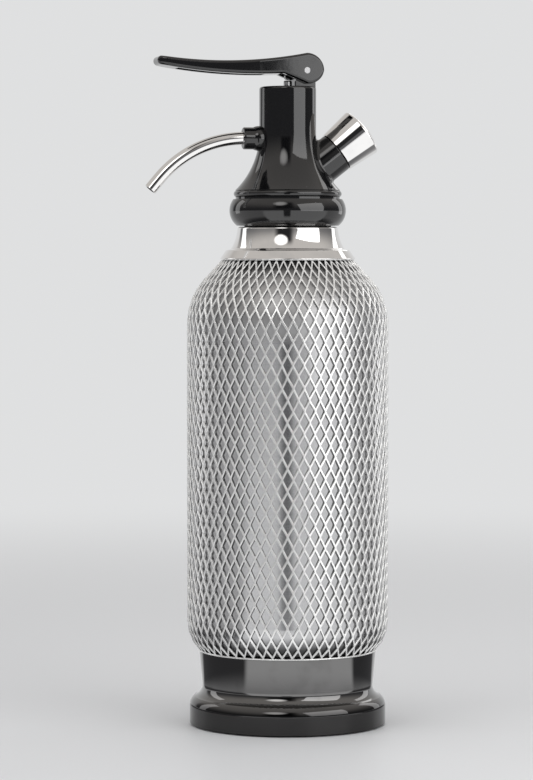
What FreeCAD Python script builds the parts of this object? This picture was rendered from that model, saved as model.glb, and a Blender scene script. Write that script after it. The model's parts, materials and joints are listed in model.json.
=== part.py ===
"""Soda siphon: an aluminium bottle in a mesh sleeve, with a base cup, lever head, spout and charging cap.

Millimetres. The origin lies on the bottle's axis at the underside of the foot pad. +Z is up, the spout
points to -X and the charging cap to +X. Each function makes one piece in its place.
"""

import FreeCAD, Part
import math
import os

# ---- fits ----------------------------------------------------------------------------------------
RUN = 0.05          # radial, a shaft that turns or slides in its bore
SEAT = 0.1          # between flat faces of pieces that part
PASS = 0.35         # radial, a piece that is screwed or lifted past another
LOOSE = 0.2         # a piece laid in a recess

# ---- base ----------------------------------------------------------------------------------------
FOOT_PAD_IN = 3.3   # the pad's edge inside the foot's
FOOT_PAD_T = 2.0
FOOT_OUT = 0.1      # the foot's band beyond the bottle
FOOT_RISE = 0.8     # the cup's edge hangs this far above the table
FOOT_H = 7.7        # the foot's upright band
FOOT_SHOULDER_IN = 2.2
FOOT_SHOULDER_H = 5.1
WAIST_IN = 5.9      # the cup's waist inside the bottle's side
WAIST_RISE = 6.0    # from the foot's shoulder to the waist
CUP_H = 34.4        # from the cup's edge to its top
CUP_WALL = 2.4
CUP_LIP_GAP = 0.75  # radial, from the bottle's heel to the cup's lip
CUP_LIP_WALL = 1.3
CUP_LIP_DEPTH = 4.5
HEEL_SUNK = 5.2     # how deep the bottle sits in the cup
WEB_T = 3.0         # the floor that carries the cushion
CUP_CHAMFER = 4.0   # inside, above the plate
PLATE_T = 3.0
PLATE_EDGE = 2.2    # radial, from the plate to the cup's outside
BOSS_R = 4.0
SCREW_PCD = 56.0
SCREW_COUNT = 3
SCREW_R = 1.5
SCREW_HEAD_R = 2.8
SCREW_HEAD_T = 1.6
SCREW_DEPTH = 9.0   # thread length above the plate
CUSHION_T = 5.0
CUSHION_IN = 5.5    # the cushion's edge inside the cup's wall
CUSHION_HOLE_R = 9.0

# ---- bottle --------------------------------------------------------------------------------------
BOTTLE_R = 46.7
BOTTLE_WALL = 2.0
HEEL_R = 20.0
BODY_H = 141.0      # the straight side
SHOULDER_R = 30.7
SHOULDER_DEG = 43.0
NECK_R = 17.0
NECK_FILLET_R = 8.0
NECK_H = 9.9        # the upright neck above its fillet
BEAD_OUT = 1.1      # the rolled lip, which locks the neck ring
BEAD_H = 5.0
LIP_ROUND = 0.8

# ---- mesh sleeve and collar ----------------------------------------------------------------------
MESH_GAP = 0.5      # between bottle and mesh
MESH_T = 0.8
MESH_TOP_R = 31.6
RIM_WIRE_R = 0.45
RIM_GAP = 0.1       # between a rim wire and what it meets
COLLAR_LOW_R = 32.5    # its skirt hides the upper rim wire
COLLAR_LEDGE_R = 29.4
COLLAR_BAND_H = 4.4
COLLAR_LEDGE = 2.4
COLLAR_CREST_R = 1.1   # the ledge's rounded crest, and the hollow above it
COLLAR_HOLLOW_R = 0.9
COLLAR_LIP_R = 0.35
COLLAR_TOP_R = 23.9
COLLAR_T = 1.0
COLLAR_DROP = 0.9   # the collar's top below the start of the upright neck
COLLAR_BORE_GAP = 0.8
RING_OUT = 3.6      # the neck ring's crest beyond the neck
RING_GAP = 0.25
RING_THREAD_DEPTH = 0.8
RING_THREAD_PITCH = 2.5
RING_UNDER_LIP = 1.2

# ---- riser ---------------------------------------------------------------------------------------
GASKET_T = 2.4
FLANGE_T = 2.5
FLANGE_R = 17.4
RISER_R = 5.0
RISER_WALL = 1.3
RISER_TIP_R = 6.4
RISER_TIP_H = 9.0
RISER_SOCKET = 5.0  # how far the tube goes into its tip
RISER_FLOOR_GAP = 2.5
TIP_SLOT_W = 3.0

# ---- head ----------------------------------------------------------------------------------------
HEAD_COLLAR_GAP = 0.5
BELL_TOP_R = 26.0
BELL_R = 27.7
BELL_LOW_R = 24.3
BELL_H = 12.6
GROOVE_R = 24.8
GROOVE_H = 1.0
BEAD_RING_R = 25.7
BEAD_RING_H = 3.0
SKIRT_STEP = 0.3    # from the bead ring up to the skirt
SKIRT_R = 25.0
SKIRT_H = 27.2
COLUMN_R = 13.5
COLUMN_H = 21.7     # the column above the skirt
COLUMN_ROUND = 1.2
LINER_T = 1.7       # the threaded liner in the bell

# valve, stacked up from the head's ceiling
CAGE_OUT_R = 6.2
CAGE_BORE_R = 4.8
CAGE_H = 13.6
CAGE_FLOOR_T = 2.2
CAGE_FLOOR_BORE_R = 2.6
SEAT_H = 3.0
SEAT_BORE_R = 3.2
CHAMBER_R = 5.0
CHAMBER_H = 13.4
STEM_R = 2.0
STEM_OUT = 2.9      # the stem above the column
STEM_SPIGOT_R = 1.2 # carries the washer and the plunger
STEM_DOME = 0.6
GUIDE_R = 4.6
COLUMN_SKIN = 3.0   # the column's top above the guide
STEM_SEAL_T = 2.0
WASHER_T = 1.5
WASHER_R = 4.3
PLUNGER_T = 3.0
SPRING_WIRE_R = 0.35
SPRING_R = 3.3
SPRING_TURNS = 5

# ---- spout ---------------------------------------------------------------------------------------
SPOUT_RISE = 26.0   # the spout's axis above the head's ceiling
SPOUT_R = 3.1
SPOUT_WALL = 0.8
SPOUT_BEND_R = 54.0
SPOUT_BEND_DEG = 50.0
SPOUT_TIP_RUN = 6.6
SPOUT_INSIDE = 6.2  # how far the tube goes into the column
SPOUT_HIDDEN = 1.2  # how far inside the ferrule the bend starts
FERRULE_R = 5.25
FERRULE_OUT = 8.3
FERRULE_ROUND = 0.8
FERRULE_BALL_R = 5.9   # the swell where it meets the column
FERRULE_BALL_OUT = 0.6
SPOUT_SEAL_T = 1.9
SPOUT_SEAL_R = 4.4

# ---- charging nozzle and cap, along an axis that climbs towards +X -------------------------------
NOZZLE_DEG = 38.0
NOZZLE_RISE = 1.1   # where that axis crosses the bottle's, above the ceiling
BOSS_END = 30.0     # along the axis
CHARGE_BOSS_R = 9.8
CHARGE_BOSS_ROUND = 0.5
BOSS_FILLET_R = 1.5 # where the boss leaves the skirt
SHANK_R = 6.2
SHANK_IN = 11.0
NOZZLE_R = 7.6
NOZZLE_OUT = 12.0
NOZZLE_THREAD_DEPTH = 0.5
NOZZLE_THREAD_PITCH = 2.0
SOCKET_R = 4.7
SOCKET_DEPTH = 11.0
GAS_BORE_R = 1.2
GAS_DRILL_X = 12.0
GAS_DRILL_R = 1.5
NOZZLE_SEAL_T = 1.6
PIN_R = 0.9
PIN_OUT = 4.5
PIN_SLANT_DEG = 35
SLEEVE_R = 4.6
SLEEVE_L = 6.0
SPIGOT_R = 3.6
CAP_GAP = 0.2
CAP_LOW_R = 10.3
CAP_TOP_R = 12.1
CAP_L = 15.8
CAP_DOME = 2.5
CAP_ROUND = 1.0
CAP_SKIN = 0.7
CAP_GASKET_T = 1.0
CAP_GASKET_R = 7.2
CAP_END_T = 2.8

# ---- lever ---------------------------------------------------------------------------------------
PIVOT_X = 7.5
PIVOT_RISE = 7.5    # the pivot above the column
TONGUE_R = 4.8
TONGUE_W = 11.0
TONGUE_SUNK = 1.0   # how far the tongue's block reaches into the column
PIN_CLEAR = 0.25    # between tongue and lever, each side
LEVER_PIN_R = 1.5
LEVER_W = 20.0
LEVER_TIP_W = 17.0
LEVER_NECK_X = -12.0  # where the hollow under the arm starts
LEVER_REACH = 62.0  # from the bottle's axis to the tip
LEVER_TIP_LOW = 9.6   # heights above the pivot's foot, the column's top
LEVER_MID_LOW = 6.2
LEVER_NEAR_LOW = 6.0
LEVER_TIP_T = 4.2
LEVER_MID_T = 5.6
LEVER_WEB_T = 3.2
CHEEK_R = 6.2
LEVER_EDGE = 1.4
LEVER_SKIN = 2.2
LEVER_SHOULDER_X = -15.5  # where the arm starts to narrow
LEVER_MID_X = -34.0   # the lowest place of the dished top
LEVER_NEAR_X = -3.7   # where the cheeks run into the arm
NOSE_HALF = 1.5
NOSE_PLAY = 0.2
NOSE_ROOM = 2.3     # between the nose and the slot's end

# ---- places worked out from the sizes above ------------------------------------------------------
ORIGIN = FreeCAD.Vector(0, 0, 0)
UP = FreeCAD.Vector(0, 0, 1)
ACROSS = FreeCAD.Vector(0, 1, 0)
OUT = FreeCAD.Vector(1, 0, 0)

CUP_TOP_Z = FOOT_RISE + CUP_H
MESH_OUT = MESH_GAP + MESH_T
MESH_MID = MESH_GAP + MESH_T / 2
MESH_LOW_Z = CUP_TOP_Z + 2 * RIM_WIRE_R + 2 * RIM_GAP
HEEL_X = BOTTLE_R - HEEL_R
BOTTLE_LOW_Z = CUP_TOP_Z - HEEL_SUNK
HEEL_Z = BOTTLE_LOW_Z + HEEL_R
SHOULDER_X = BOTTLE_R - SHOULDER_R
SHOULDER_Z = HEEL_Z + BODY_H
COS_S = math.cos(math.radians(SHOULDER_DEG))
SIN_S = math.sin(math.radians(SHOULDER_DEG))
NECK_X = NECK_R + NECK_FILLET_R
NECK_Z = SHOULDER_Z + (SHOULDER_R + NECK_FILLET_R - (NECK_X - SHOULDER_X) * COS_S) / SIN_S
LIP_Z = NECK_Z + NECK_H
WEB_Z = BOTTLE_LOW_Z - CUSHION_T - WEB_T
COLLAR_TOP_Z = NECK_Z - COLLAR_DROP
RING_R = NECK_R + RING_OUT
FLANGE_Z = LIP_Z + GASKET_T
CEILING_Z = FLANGE_Z + FLANGE_T + SEAT
HEAD_LOW_Z = COLLAR_TOP_Z + HEAD_COLLAR_GAP
SKIRT_Z = HEAD_LOW_Z + BELL_H + GROOVE_H + BEAD_RING_H + SKIRT_STEP
LINER_BORE_R = RING_R + PASS
LINER_TOP_Z = LIP_Z - RING_UNDER_LIP
COLUMN_TOP_Z = SKIRT_Z + SKIRT_H + COLUMN_H
CAGE_TOP_Z = CEILING_Z + CAGE_H
CHAMBER_Z = CAGE_TOP_Z + SEAT_H
CHAMBER_TOP_Z = CHAMBER_Z + CHAMBER_H
WASHER_TOP_Z = CAGE_TOP_Z - RUN
PLUNGER_Z = WASHER_TOP_Z - WASHER_T - PLUNGER_T
SPRING_LOW_Z = CEILING_Z + CAGE_FLOOR_T
SPOUT_Z = CEILING_Z + SPOUT_RISE
FERRULE_END = COLUMN_R + FERRULE_OUT
NOZZLE_Z = CEILING_Z + NOZZLE_RISE
NOZZLE_END = BOSS_END + NOZZLE_OUT
CAP_LOW = BOSS_END + CAP_GAP
CAP_END = CAP_LOW + CAP_L
PIVOT_Z = COLUMN_TOP_Z + PIVOT_RISE
SLOT_R = TONGUE_R + PIN_CLEAR
SLOT_HALF = TONGUE_W / 2 + PIN_CLEAR
HUB_R = SLOT_R + LEVER_WEB_T
STEM_TOP_Z = COLUMN_TOP_Z + STEM_OUT
GUIDE_TOP_Z = COLUMN_TOP_Z - COLUMN_SKIN


# ---- drawing helpers -----------------------------------------------------------------------------
def at(r, z):
    """A point in the XZ plane."""
    return FreeCAD.Vector(r, 0, z)


def line(start, end):
    return Part.LineSegment(start, end).toShape()


def arc(centre, radius, start_deg, end_deg):
    """An arc in the XZ plane; angles run from +X towards +Z."""
    def on(deg):
        return at(centre.x + radius * math.cos(math.radians(deg)),
                  centre.z + radius * math.sin(math.radians(deg)))
    return Part.Arc(on(start_deg), on((start_deg + end_deg) / 2), on(end_deg)).toShape()


def turn(edges):
    """The solid that a closed outline sweeps round the Z axis."""
    return Part.Face(Part.Wire(edges)).revolve(ORIGIN, UP, 360)


def lathe(*corners):
    """A turned solid with straight flanks."""
    return turn(Part.makePolygon(list(corners) + [corners[0]]).Edges)


def rod(radius, low, high):
    return Part.makeCylinder(radius, high - low, at(0, low), UP)


def tube(outer, inner, low, high):
    return rod(outer, low, high).cut(rod(inner, low, high))


def ring_grooves(radius, depth, pitch, low, high):
    """Tools that cut thread-like grooves into a shaft, or into a bore where depth is below zero."""
    count = int((high - low) / pitch)
    start = (low + high - count * pitch) / 2 + pitch / 2
    grooves = []
    for i in range(count):
        middle = start + i * pitch
        grooves.append(lathe(at(radius - depth, middle),
                             at(radius + depth, middle + pitch * 0.6),
                             at(radius + depth, middle - pitch * 0.6)))
    return Part.makeCompound(grooves)


def along_nozzle(shape):
    """Carry a shape drawn on the Z axis onto the charging axis."""
    shape.rotate(ORIGIN, ACROSS, 90 - NOZZLE_DEG)
    shape.translate(at(0, NOZZLE_Z))
    return shape


def single(shape):
    """The one solid in a shape, with seams between like faces removed."""
    return shape.removeSplitter().Solids[0]


# ---- bottle --------------------------------------------------------------------------------------
def bottle_solid(out, top_z):
    """The bottle's outline moved outward by out, turned, and closed at top_z."""
    low = at(HEEL_X, BOTTLE_LOW_Z - out)
    side_low = at(BOTTLE_R + out, HEEL_Z)
    side_high = at(BOTTLE_R + out, SHOULDER_Z)
    slope_low = at(SHOULDER_X + (SHOULDER_R + out) * COS_S, SHOULDER_Z + (SHOULDER_R + out) * SIN_S)
    slope_high = at(NECK_X - (NECK_FILLET_R - out) * COS_S, NECK_Z - (NECK_FILLET_R - out) * SIN_S)
    neck_low = at(NECK_R + out, NECK_Z)
    neck_high = at(NECK_R + out, top_z)
    return turn([
        line(at(0, BOTTLE_LOW_Z - out), low),
        arc(at(HEEL_X, HEEL_Z), HEEL_R + out, -90, 0),
        line(side_low, side_high),
        arc(at(SHOULDER_X, SHOULDER_Z), SHOULDER_R + out, 0, SHOULDER_DEG),
        line(slope_low, slope_high),
        arc(at(NECK_X, NECK_Z), NECK_FILLET_R - out, 180 + SHOULDER_DEG, 180),
        line(neck_low, neck_high),
        line(neck_high, at(0, top_z)),
        line(at(0, top_z), at(0, BOTTLE_LOW_Z - out)),
    ])


def heel_radius(out, z):
    """The bottle's radius at a height on its bottom corner."""
    return HEEL_X + math.sqrt((HEEL_R + out) ** 2 - (HEEL_Z - z) ** 2)


def slope_radius(out, z):
    """The bottle's radius at a height on its sloping shoulder."""
    return SHOULDER_X + (SHOULDER_R + out - (z - SHOULDER_Z) * SIN_S) / COS_S


def slope_height(out, radius):
    return SHOULDER_Z + (SHOULDER_R + out - (radius - SHOULDER_X) * COS_S) / SIN_S


MESH_TOP_Z = slope_height(MESH_OUT, MESH_TOP_R)
RIM_TOP_Z = MESH_TOP_Z + RIM_GAP + RIM_WIRE_R
RIM_LOW_Z = CUP_TOP_Z + RIM_GAP + RIM_WIRE_R
COLLAR_LOW_Z = RIM_TOP_Z
FOOT_R = BOTTLE_R + FOOT_OUT
FOOT_SHOULDER_R = FOOT_R - FOOT_SHOULDER_IN
WAIST_R = BOTTLE_R - WAIST_IN
CUP_MOUTH_R = heel_radius(0, CUP_TOP_Z) + CUP_LIP_GAP
CUP_TOP_R = CUP_MOUTH_R + CUP_LIP_WALL
CUP_BORE_R = WAIST_R - CUP_WALL


def ring_edges(shape, radius):
    """The edges of a turned solid that run round it at a radius."""
    circles = [edge for edge in shape.Edges if edge.Curve.TypeId == "Part::GeomCircle"]
    return [edge for edge in circles if abs(edge.Curve.Radius - radius) < 0.001]


def bottle_shell():
    """The spun bottle: an even wall, with a rolled lip round its mouth."""
    bead = rod(NECK_R + BEAD_OUT, LIP_Z - BEAD_H, LIP_Z)
    rims = [edge for edge in bead.Edges if edge.Length > bead.BoundBox.XLength]
    bead = bead.makeFillet(LIP_ROUND, rims)
    body = bottle_solid(0, LIP_Z).fuse(bead)
    inside = bottle_solid(-BOTTLE_WALL, LIP_Z + 1)
    return single(body.cut(inside))


def wire_mesh():
    sleeve = bottle_solid(MESH_OUT, LIP_Z).cut(bottle_solid(MESH_GAP, LIP_Z + 1))
    return single(sleeve.common(rod(BOTTLE_R * 2, MESH_LOW_Z, MESH_TOP_Z)))


def mesh_top_rim():
    return Part.makeTorus(slope_radius(MESH_MID + LOOSE, RIM_TOP_Z), RIM_WIRE_R, at(0, RIM_TOP_Z), UP)


def mesh_bottom_rim():
    return Part.makeTorus(heel_radius(MESH_MID + LOOSE, RIM_LOW_Z), RIM_WIRE_R, at(0, RIM_LOW_Z), UP)


def neck_collar():
    """A pressed bell: conical band, rounded ledge and concave flare, closed round the neck at its top."""
    ledge_z = COLLAR_LOW_Z + COLLAR_BAND_H
    flare_r = COLLAR_LEDGE_R - COLLAR_LEDGE
    flare_top = at(COLLAR_TOP_R, COLLAR_TOP_Z - COLLAR_T)
    flare_low = at(flare_r, ledge_z + COLLAR_T * 0.6)
    flare_mid = at(COLLAR_TOP_R + (flare_r - COLLAR_TOP_R) * 0.32, (flare_low.z + flare_top.z) / 2)
    bore_r = NECK_R + COLLAR_BORE_GAP
    in_top = at(COLLAR_TOP_R - COLLAR_T, flare_top.z)
    in_low = at(flare_r - COLLAR_T, ledge_z - COLLAR_T * 0.4)
    in_mid = at(flare_mid.x - COLLAR_T, (in_low.z + in_top.z) / 2)
    in_ledge = at(COLLAR_LEDGE_R - COLLAR_T, ledge_z - COLLAR_T)
    in_lip = at(COLLAR_LOW_R - COLLAR_T, COLLAR_LOW_Z)
    collar = turn([
        line(at(COLLAR_LOW_R, COLLAR_LOW_Z), at(COLLAR_LEDGE_R, ledge_z)),
        line(at(COLLAR_LEDGE_R, ledge_z), flare_low),
        Part.Arc(flare_low, flare_mid, flare_top).toShape(),
        Part.Arc(flare_top, at(COLLAR_TOP_R - COLLAR_T * 0.3, COLLAR_TOP_Z - COLLAR_T * 0.3),
                 at(COLLAR_TOP_R - COLLAR_T, COLLAR_TOP_Z)).toShape(),
        line(at(COLLAR_TOP_R - COLLAR_T, COLLAR_TOP_Z), at(bore_r, COLLAR_TOP_Z)),
        line(at(bore_r, COLLAR_TOP_Z), at(bore_r, flare_top.z)),
        line(at(bore_r, flare_top.z), in_top),
        Part.Arc(in_top, in_mid, in_low).toShape(),
        line(in_low, in_ledge),
        line(in_ledge, in_lip),
        line(in_lip, at(COLLAR_LOW_R, COLLAR_LOW_Z)),
    ])
    collar = collar.makeFillet(COLLAR_CREST_R, ring_edges(collar, COLLAR_LEDGE_R))
    collar = collar.makeFillet(COLLAR_HOLLOW_R, ring_edges(collar, flare_r))
    return single(collar.makeFillet(COLLAR_LIP_R, ring_edges(collar, COLLAR_LOW_R)))


def neck_ring():
    """The threaded ring pushed over the neck before the lip is rolled over its step."""
    step_z = LIP_Z - BEAD_H - RING_GAP
    ring = tube(RING_R, NECK_R + RING_GAP, COLLAR_TOP_Z, step_z)
    ring = ring.fuse(tube(RING_R, NECK_R + BEAD_OUT + RING_GAP, step_z, LINER_TOP_Z))
    grooves = ring_grooves(RING_R, RING_THREAD_DEPTH, RING_THREAD_PITCH, COLLAR_TOP_Z, LINER_TOP_Z)
    return single(ring.cut(grooves))


# ---- base ----------------------------------------------------------------------------------------
def screw_places():
    """The screws' axes, evenly round the base."""
    for i in range(SCREW_COUNT):
        angle = math.radians(360 / SCREW_COUNT * i + 90)
        yield FreeCAD.Vector(SCREW_PCD / 2 * math.cos(angle), SCREW_PCD / 2 * math.sin(angle), 0)


PLATE_Z = FOOT_PAD_T
PLATE_TOP_Z = PLATE_Z + PLATE_T


def base_cup():
    band_z = FOOT_RISE + FOOT_H
    foot_shoulder = at(FOOT_SHOULDER_R, band_z + FOOT_SHOULDER_H)
    waist = at(WAIST_R, foot_shoulder.z + WAIST_RISE)
    foot_mid = at(FOOT_SHOULDER_R + (FOOT_R - FOOT_SHOULDER_R) * 0.74, band_z + FOOT_SHOULDER_H * 0.62)
    flare_mid = at(WAIST_R + (FOOT_SHOULDER_R - WAIST_R) * 0.3, foot_shoulder.z + WAIST_RISE * 0.3)
    step_z = CUP_TOP_Z - CUP_LIP_DEPTH
    web_top_z = WEB_Z + WEB_T
    plate_r = FOOT_R - PLATE_EDGE
    cup = turn([
        line(at(0, WEB_Z), at(CUP_BORE_R, WEB_Z)),
        line(at(CUP_BORE_R, WEB_Z), at(CUP_BORE_R, PLATE_TOP_Z + CUP_CHAMFER)),
        line(at(CUP_BORE_R, PLATE_TOP_Z + CUP_CHAMFER), at(plate_r, PLATE_TOP_Z)),
        line(at(plate_r, PLATE_TOP_Z), at(plate_r, FOOT_RISE)),
        line(at(plate_r, FOOT_RISE), at(FOOT_R, FOOT_RISE)),
        line(at(FOOT_R, FOOT_RISE), at(FOOT_R, band_z)),
        Part.Arc(at(FOOT_R, band_z), foot_mid, foot_shoulder).toShape(),
        Part.Arc(foot_shoulder, flare_mid, waist).toShape(),
        line(waist, at(CUP_TOP_R, CUP_TOP_Z)),
        line(at(CUP_TOP_R, CUP_TOP_Z), at(CUP_MOUTH_R, CUP_TOP_Z)),
        line(at(CUP_MOUTH_R, CUP_TOP_Z), at(CUP_MOUTH_R, step_z)),
        line(at(CUP_MOUTH_R, step_z), at(CUP_BORE_R, step_z)),
        line(at(CUP_BORE_R, step_z), at(CUP_BORE_R, web_top_z)),
        line(at(CUP_BORE_R, web_top_z), at(0, web_top_z)),
        line(at(0, web_top_z), at(0, WEB_Z)),
    ])
    for place in screw_places():
        boss = rod(BOSS_R, PLATE_TOP_Z, WEB_Z + WEB_T / 2)
        boss.translate(place)
        hole = rod(SCREW_R + RUN, PLATE_TOP_Z - 1, PLATE_TOP_Z + SCREW_DEPTH + 1)
        hole.translate(place)
        cup = cup.fuse(boss).cut(hole)
    return single(cup)


def base_cushion():
    top_z = BOTTLE_LOW_Z
    return tube(CUP_BORE_R - CUSHION_IN, CUSHION_HOLE_R, top_z - CUSHION_T, top_z)


def base_plate():
    plate = rod(FOOT_R - PLATE_EDGE - LOOSE, PLATE_Z, PLATE_TOP_Z)
    for place in screw_places():
        hole = rod(SCREW_R + LOOSE, PLATE_Z - 1, PLATE_TOP_Z + 1)
        recess = rod(SCREW_HEAD_R + LOOSE, PLATE_Z - 1, PLATE_Z + SCREW_HEAD_T)
        hole.translate(place)
        recess.translate(place)
        plate = plate.cut(hole).cut(recess)
    return single(plate)


def base_screw(place):
    head = rod(SCREW_HEAD_R, PLATE_Z, PLATE_Z + SCREW_HEAD_T)
    shaft = rod(SCREW_R, PLATE_Z, PLATE_TOP_Z + SCREW_DEPTH)
    screw = head.fuse(shaft)
    screw.translate(place)
    return single(screw)


def foot_pad():
    return rod(FOOT_R - FOOT_PAD_IN, 0, FOOT_PAD_T)


# ---- riser ---------------------------------------------------------------------------------------
TIP_LOW_Z = BOTTLE_LOW_Z + BOTTLE_WALL + RISER_FLOOR_GAP
TIP_TOP_Z = TIP_LOW_Z + RISER_TIP_H


def riser_tube():
    return tube(RISER_R, RISER_R - RISER_WALL, TIP_TOP_Z - RISER_SOCKET, FLANGE_Z + FLANGE_T)


def riser_flange():
    return tube(FLANGE_R, RISER_R + RUN, FLANGE_Z, FLANGE_Z + FLANGE_T)


def head_gasket():
    return tube(FLANGE_R, NECK_R - BOTTLE_WALL, LIP_Z, FLANGE_Z)


def riser_tip():
    """A strainer foot: a socket for the tube, with crossed slots below."""
    tip = tube(RISER_TIP_R, RISER_R - RISER_WALL, TIP_LOW_Z, TIP_TOP_Z)
    tip = tip.cut(rod(RISER_R + RUN, TIP_TOP_Z - RISER_SOCKET, TIP_TOP_Z + 1))
    slot_h = (RISER_TIP_H - RISER_SOCKET) * 0.7
    slot = Part.makeBox(4 * RISER_TIP_R, TIP_SLOT_W, 2 * slot_h)
    slot.translate(FreeCAD.Vector(-2 * RISER_TIP_R, -TIP_SLOT_W / 2, TIP_LOW_Z - slot_h))
    crossed = slot.copy()
    crossed.rotate(ORIGIN, UP, 90)
    return single(tip.cut(slot).cut(crossed))


# ---- head ----------------------------------------------------------------------------------------
def head_outside():
    """The head's turned outside: bell, groove, bead ring, concave skirt and column."""
    bell_top = at(BELL_TOP_R, HEAD_LOW_Z + BELL_H)
    bell_low = at(BELL_LOW_R, HEAD_LOW_Z)
    groove_top_z = bell_top.z + GROOVE_H
    ring_top_z = groove_top_z + BEAD_RING_H
    ring_low = at(GROOVE_R, groove_top_z)
    ring_high = at(GROOVE_R, ring_top_z)
    ring_mid = at(BEAD_RING_R, (groove_top_z + ring_top_z) / 2)
    skirt_low = at(SKIRT_R, SKIRT_Z)
    skirt_high = at(COLUMN_R, SKIRT_Z + SKIRT_H)
    spread = SKIRT_R - COLUMN_R
    skirt_arc_r = (spread ** 2 + SKIRT_H ** 2) / (2 * spread)
    swing = math.degrees(math.asin(SKIRT_H / skirt_arc_r))
    skirt_centre = at(COLUMN_R + skirt_arc_r, skirt_high.z)
    column_top = at(COLUMN_R, COLUMN_TOP_Z - COLUMN_ROUND)
    return turn([
        line(at(0, HEAD_LOW_Z), bell_low),
        Part.Arc(bell_low, at(BELL_R, HEAD_LOW_Z + BELL_H * 0.5), bell_top).toShape(),
        line(bell_top, at(GROOVE_R, bell_top.z)),
        line(at(GROOVE_R, bell_top.z), ring_low),
        Part.Arc(ring_low, ring_mid, ring_high).toShape(),
        line(ring_high, skirt_low),
        arc(skirt_centre, skirt_arc_r, 180 + swing, 180),
        line(skirt_high, column_top),
        arc(at(COLUMN_R - COLUMN_ROUND, column_top.z), COLUMN_ROUND, 0, 90),
        line(at(COLUMN_R - COLUMN_ROUND, COLUMN_TOP_Z), at(0, COLUMN_TOP_Z)),
        line(at(0, COLUMN_TOP_Z), at(0, HEAD_LOW_Z)),
    ])


def tongue():
    """The upright ear on the column that holds the lever's pin."""
    low_z = COLUMN_TOP_Z - TONGUE_SUNK
    block = Part.makeBox(2 * TONGUE_R, TONGUE_W, PIVOT_Z - low_z)
    block.translate(FreeCAD.Vector(PIVOT_X - TONGUE_R, -TONGUE_W / 2, low_z))
    crown = Part.makeCylinder(TONGUE_R, TONGUE_W, FreeCAD.Vector(PIVOT_X, -TONGUE_W / 2, PIVOT_Z), ACROSS)
    return block.fuse(crown)


def pivot_rod(radius, width):
    return Part.makeCylinder(radius, width, FreeCAD.Vector(PIVOT_X, -width / 2, PIVOT_Z), ACROSS)


def spout_rod(radius, start, end):
    """A rod on the spout's axis, between two distances from the bottle's axis."""
    return Part.makeCylinder(radius, end - start, at(-start, SPOUT_Z), at(-1, 0))


def head_shell():
    boss = rod(CHARGE_BOSS_R, 0, BOSS_END)
    end_edges = [edge for edge in boss.Edges if edge.BoundBox.ZMin > BOSS_END - 0.01]
    boss = along_nozzle(boss.makeFillet(CHARGE_BOSS_ROUND, end_edges))
    shell = head_outside().fuse(boss).removeSplitter()
    joins = [edge for edge in shell.Edges if edge.Curve.TypeId == "Part::GeomBSplineCurve"]
    shell = shell.makeFillet(BOSS_FILLET_R, joins).fuse(tongue())
    # the bell over the neck with its liner's recess, and the flat ceiling on the riser's flange
    shell = shell.cut(rod(LINER_BORE_R, HEAD_LOW_Z - 1, CEILING_Z))
    shell = shell.cut(rod(LINER_BORE_R + LINER_T + RUN, HEAD_LOW_Z - 1, LINER_TOP_Z))
    # the valve's bores, stacked along the column
    shell = shell.cut(rod(CAGE_OUT_R + RUN, CEILING_Z - 1, CHAMBER_Z))
    shell = shell.cut(rod(CHAMBER_R, CHAMBER_Z - 1, CHAMBER_TOP_Z))
    shell = shell.cut(rod(GUIDE_R + RUN, CHAMBER_TOP_Z - 1, GUIDE_TOP_Z))
    shell = shell.cut(rod(STEM_R + PASS, GUIDE_TOP_Z - 1, COLUMN_TOP_Z + 1))
    # the spout's bore and its seal's recess
    shell = shell.cut(spout_rod(SPOUT_R + RUN, 0, FERRULE_END))
    shell = shell.cut(spout_rod(SPOUT_SEAL_R + RUN, COLUMN_R - SPOUT_SEAL_T, FERRULE_END))
    # the charging bore, the gas drilling and the lever's pin
    shell = shell.cut(along_nozzle(rod(SHANK_R + RUN, BOSS_END - SHANK_IN - LOOSE, BOSS_END + 1)))
    drill = rod(GAS_DRILL_R, CEILING_Z - 1, NOZZLE_Z + GAS_DRILL_X * math.tan(math.radians(NOZZLE_DEG)))
    drill.translate(at(GAS_DRILL_X, 0))
    shell = shell.cut(drill)
    shell = shell.cut(pivot_rod(LEVER_PIN_R, 2 * TONGUE_W))
    return single(shell)


def bell_thread():
    """The threaded liner moulded into the bell, which screws over the neck ring."""
    liner = tube(LINER_BORE_R + LINER_T, LINER_BORE_R, HEAD_LOW_Z, LINER_TOP_Z)
    grooves = ring_grooves(LINER_BORE_R, -RING_THREAD_DEPTH, RING_THREAD_PITCH, HEAD_LOW_Z, LINER_TOP_Z)
    return single(liner.cut(grooves))


def valve_cage():
    cage = tube(CAGE_OUT_R, CAGE_BORE_R, CEILING_Z, CAGE_TOP_Z)
    return single(cage.fuse(tube(CAGE_OUT_R, CAGE_FLOOR_BORE_R, CEILING_Z, CEILING_Z + CAGE_FLOOR_T)))


def valve_seat():
    return tube(CAGE_OUT_R, SEAT_BORE_R, CAGE_TOP_Z, CHAMBER_Z)


def valve_spring():
    """A coil between the cage's floor and the plunger, with a wire's play at each end."""
    low = SPRING_LOW_Z + SPRING_WIRE_R + RUN
    height = PLUNGER_Z - SPRING_WIRE_R - RUN - low
    path = Part.makeHelix(height / SPRING_TURNS, height, SPRING_R)
    start = Part.Circle(FreeCAD.Vector(SPRING_R, 0, 0), ACROSS, SPRING_WIRE_R).toShape()
    coil = Part.Wire(path.Edges).makePipeShell([Part.Wire([start])], True, True)
    coil.translate(at(0, low))
    return coil


def stem_guide():
    """The stem's long bearing, pushed up the column from below."""
    return tube(GUIDE_R, STEM_R + RUN, CHAMBER_TOP_Z + STEM_SEAL_T, GUIDE_TOP_Z)


def stem_seal():
    return tube(GUIDE_R, STEM_R + RUN, CHAMBER_TOP_Z, CHAMBER_TOP_Z + STEM_SEAL_T)


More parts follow.
